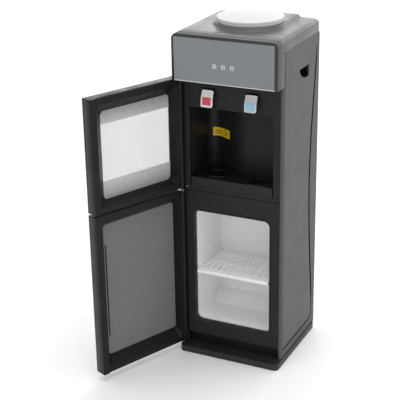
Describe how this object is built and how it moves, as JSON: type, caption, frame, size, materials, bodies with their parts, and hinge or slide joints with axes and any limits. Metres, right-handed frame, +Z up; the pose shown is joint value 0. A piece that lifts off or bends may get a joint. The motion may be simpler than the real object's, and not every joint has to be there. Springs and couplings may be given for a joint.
{
  "type": "floor-standing water dispenser",
  "caption": "Tall top-loading water dispenser with hot and cold paddle taps, a curved niche and a refrigerated cabinet behind two hinged doors.",
  "frame": {"origin": "centre of the base tray's underside, on the floor", "axes": "+Z up, front towards -Y, +X to the right seen from the front"},
  "size_m": [0.4602, 0.5632, 1.0083],
  "materials": {
    "base_plastic": "satin black",
    "black_plastic": "satin black",
    "front_plastic": "satin black",
    "niche_plastic": "semi-gloss black",
    "door_plastic": "satin black",
    "door_glass": "clear, frosted towards its edges",
    "door_skin_gloss": "gloss black",
    "door_grey": "matte mid grey",
    "black_gloss": "gloss black",
    "grey_glass": "gloss blue-grey",
    "circuit_board": "green board",
    "grey_plastic": "satin dark grey",
    "silver_paint": "satin silver grey",
    "skirt_paint": "satin dark grey",
    "back_steel": "matte black",
    "coil_steel": "semi-gloss black",
    "tank_steel": "brushed",
    "hinge_steel": "plated",
    "liner_white": "vacuum-formed white",
    "shelf_white": "white",
    "white_plastic": "satin white",
    "hose_silicone": "translucent white",
    "rubber": "black",
    "hot_red": "red",
    "cold_blue": "light blue",
    "rocker_green": "green",
    "label_yellow": "plain yellow label"
  },
  "bodies": {
    "chassis": {"base_tray": "base_plastic", "kick_plate": "black_plastic", "lower_front_frame": "front_plastic", "upper_front_frame": "front_plastic", "niche_liner": "niche_plastic", "niche_label": "label_yellow", "tap_fascia": "front_plastic", "hot_tap": "black_plastic", "cold_tap": "black_plastic", "head_bezel": "grey_plastic", "bezel_frame": "black_gloss", "control_glass": "grey_glass", "control_board": "circuit_board", "top_cover": "grey_plastic", "bottle_seat": "white_plastic", "bottle_probe": "white_plastic", "back_panel": "back_steel", "power_inlet": "black_plastic", "switch_housing": "black_plastic", "drain_outlet": "black_plastic", "condenser_coil": "coil_steel", "compressor": "coil_steel", "hot_tank": "tank_steel", "cold_tank": "tank_steel", "heater_band": "tank_steel", "hot_hose": "hose_silicone", "cold_hose": "hose_silicone", "fridge_liner": "liner_white", "cabinet_gasket": "rubber", "middle_hinge": "hinge_steel", "top_hinge": "hinge_steel", "bottom_hinge": "hinge_steel", "foot_pad_front_left": "rubber", "foot_pad_front_right": "rubber", "foot_pad_rear_left": "rubber", "foot_pad_rear_right": "rubber", "left_corner_trim": "silver_paint", "left_side_panel": "silver_paint", "left_side_skirt": "skirt_paint", "left_hand_grip": "black_plastic", "right_corner_trim": "silver_paint", "right_side_panel": "silver_paint", "right_side_skirt": "skirt_paint", "right_hand_grip": "black_plastic"},
    "upper_door": {"upper_door_frame": "door_plastic", "upper_door_glass": "door_glass"},
    "lower_door": {"lower_door_frame": "door_plastic", "lower_door_skin": "door_skin_gloss", "lower_door_panel": "door_grey"},
    "hot_lever": {"hot_paddle": "white_plastic", "hot_paddle_insert": "hot_red"},
    "cold_lever": {"cold_paddle": "white_plastic", "cold_paddle_insert": "cold_blue"},
    "bottle_lid": {"lid": "white_plastic"},
    "cabinet_shelf": {"fridge_shelf": "shelf_white"},
    "tray": {"drip_tray": "black_plastic", "drip_grille": "black_plastic"},
    "heating_switch": {"heating_rocker": "hot_red"},
    "cooling_switch": {"cooling_rocker": "rocker_green"},
    "drain_stopper": {"drain_cap": "black_plastic"}
  },
  "joints": [
    {"name": "upper_door_hinge", "type": "hinge", "parent": "chassis", "child": "upper_door", "pos_m": [-0.15, -0.128, 0.5], "axis": [0, 0, -1], "range_deg": [-113.2, 11.8]},
    {"name": "lower_door_hinge", "type": "hinge", "parent": "chassis", "child": "lower_door", "pos_m": [-0.15, -0.128, 0.5], "axis": [0, 0, -1], "range_deg": [-113.2, 11.8]},
    {"name": "hot_lever_pivot", "type": "hinge", "parent": "chassis", "child": "hot_lever", "pos_m": [-0.065, -0.113, 0.808], "axis": [1, 0, 0], "range_deg": [0, 14], "stiffness_Nm_per_rad": 0.4},
    {"name": "cold_lever_pivot", "type": "hinge", "parent": "chassis", "child": "cold_lever", "pos_m": [0.065, -0.113, 0.808], "axis": [1, 0, 0], "range_deg": [0, 14], "stiffness_Nm_per_rad": 0.4},
    {"name": "lid_lift", "type": "slide", "parent": "chassis", "child": "bottle_lid", "axis": [0, 0, 1], "range_m": [0, 0.06]},
    {"name": "shelf_slide", "type": "slide", "parent": "chassis", "child": "cabinet_shelf", "axis": [0, -1, 0], "range_m": [0, 0.12]},
    {"name": "tray_slide", "type": "slide", "parent": "chassis", "child": "tray", "axis": [0, -1, 0], "range_m": [0, 0.09]},
    {"name": "heating_switch_pivot", "type": "hinge", "parent": "chassis", "child": "heating_switch", "pos_m": [0.105, 0.138, 0.838], "axis": [-1, 0, 0], "range_deg": [0, 16]},
    {"name": "cooling_switch_pivot", "type": "hinge", "parent": "chassis", "child": "cooling_switch", "pos_m": [0.079, 0.138, 0.838], "axis": [-1, 0, 0], "range_deg": [0, 16]},
    {"name": "drain_cap_turn", "type": "hinge", "parent": "chassis", "child": "drain_stopper", "pos_m": [0.096, 0.145, 0.196], "axis": [0, 1, 0], "continuous": true}
  ]
}
